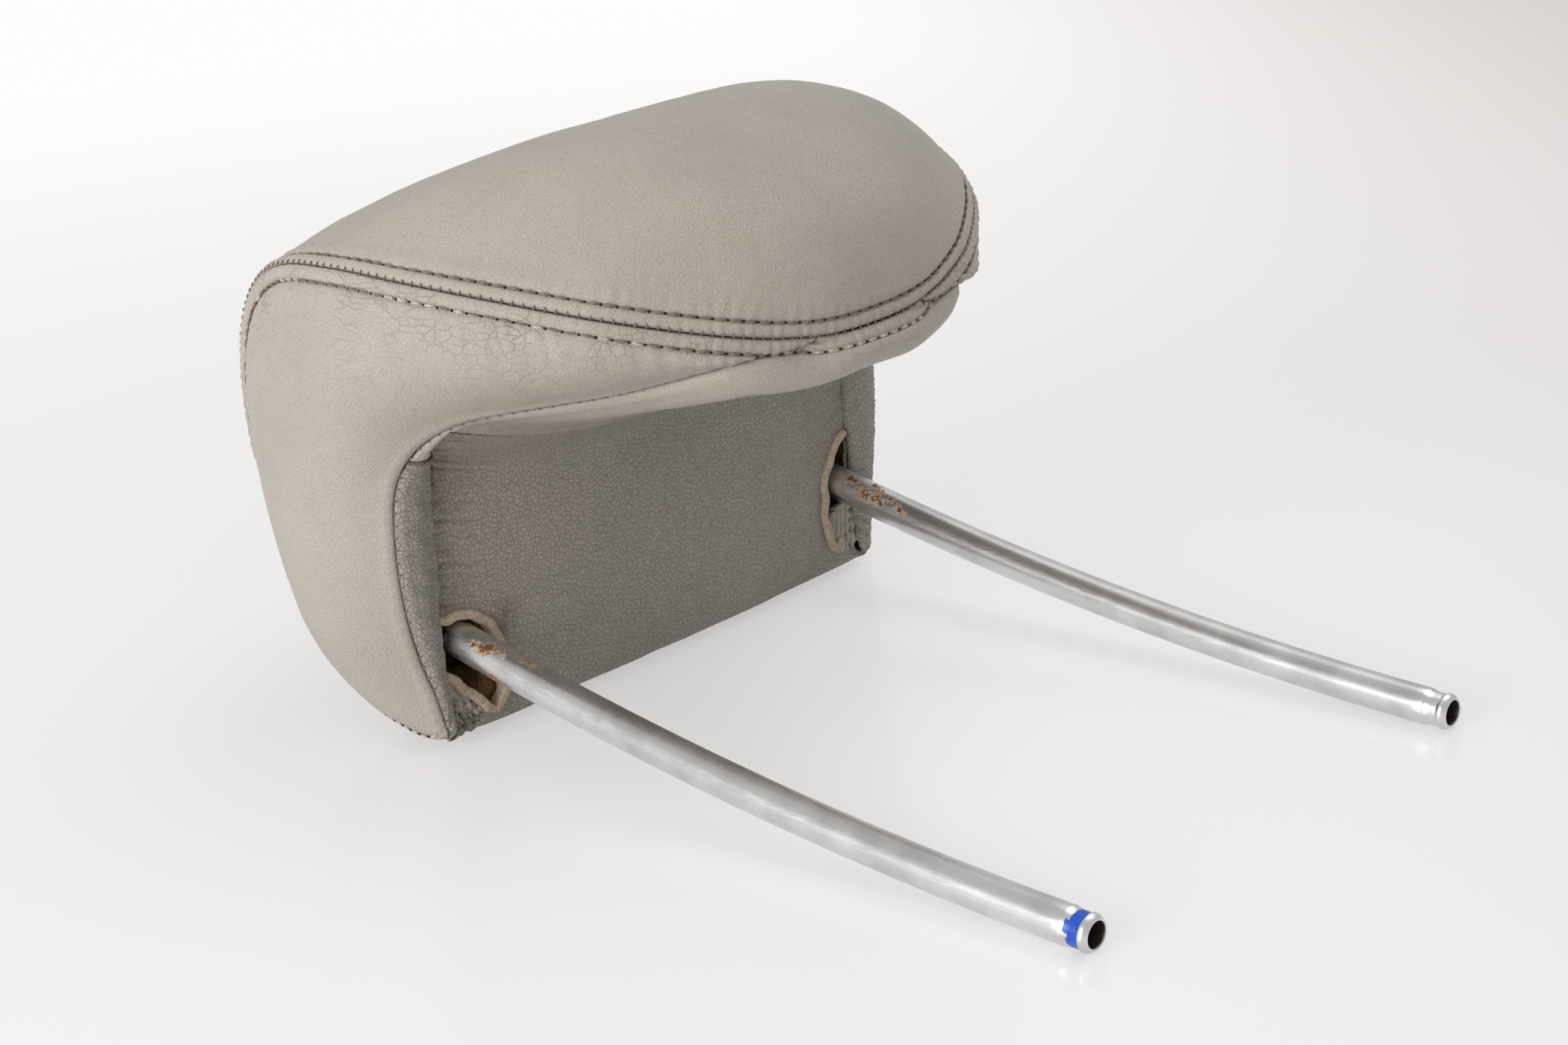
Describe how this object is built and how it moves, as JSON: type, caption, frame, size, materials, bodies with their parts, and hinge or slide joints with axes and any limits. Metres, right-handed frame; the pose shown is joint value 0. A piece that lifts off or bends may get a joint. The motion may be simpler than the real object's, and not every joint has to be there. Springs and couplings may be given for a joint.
{
  "type": "car headrest",
  "caption": "Padded leather car headrest whose chin overhangs a recess; it tilts on the hidden crossbar of a bent steel tube whose ends are its mounting posts.",
  "frame": {"origin": "on the table under the middle of the part, which lies on its back", "axes": "+Z towards the side that faces the head, -Y the way the posts point, +X across to the seated person's left"},
  "size_m": [0.2556, 0.3598, 0.1951],
  "materials": {
    "cover_leather": "fine grained grey-beige leather, soft sheen, worn",
    "recess_leather": "coarser grained grey-beige leather, grimy",
    "raw_leather": "raw cut leather edge",
    "foam": "yellowed moulded foam",
    "post_steel": "satin plated steel with rust spots",
    "core_plastic": "moulded black plastic",
    "bush_plastic": "natural nylon",
    "zinc_screws": "zinc plated"
  },
  "bodies": {
    "frame": {"post_frame": "post_steel"},
    "pad": {"tilt_bush_left": "bush_plastic", "tilt_bush_right": "bush_plastic", "clamp_cap_left": "core_plastic", "clamp_cap_right": "core_plastic", "core_rear_shell": "core_plastic", "core_front_shell": "core_plastic", "clamp_screw_1": "zinc_screws", "clamp_screw_2": "zinc_screws", "clamp_screw_3": "zinc_screws", "clamp_screw_4": "zinc_screws", "core_screw_1": "zinc_screws", "core_screw_2": "zinc_screws", "core_screw_3": "zinc_screws", "core_screw_4": "zinc_screws", "foam_pad": "foam", "front_panel": "cover_leather", "chin_gusset": "cover_leather", "rear_panel": "recess_leather", "side_panel_left": "cover_leather", "side_panel_right": "cover_leather", "recess_gusset_left": "recess_leather", "recess_gusset_right": "recess_leather", "slot_facing_left": "raw_leather", "slot_facing_right": "raw_leather"}
  },
  "joints": [
    {"name": "pad_tilt", "type": "hinge", "parent": "frame", "child": "pad", "pos_m": [0, 0.1246, 0.04591], "axis": [1, 0, 0], "range_deg": [-12, 1]}
  ]
}
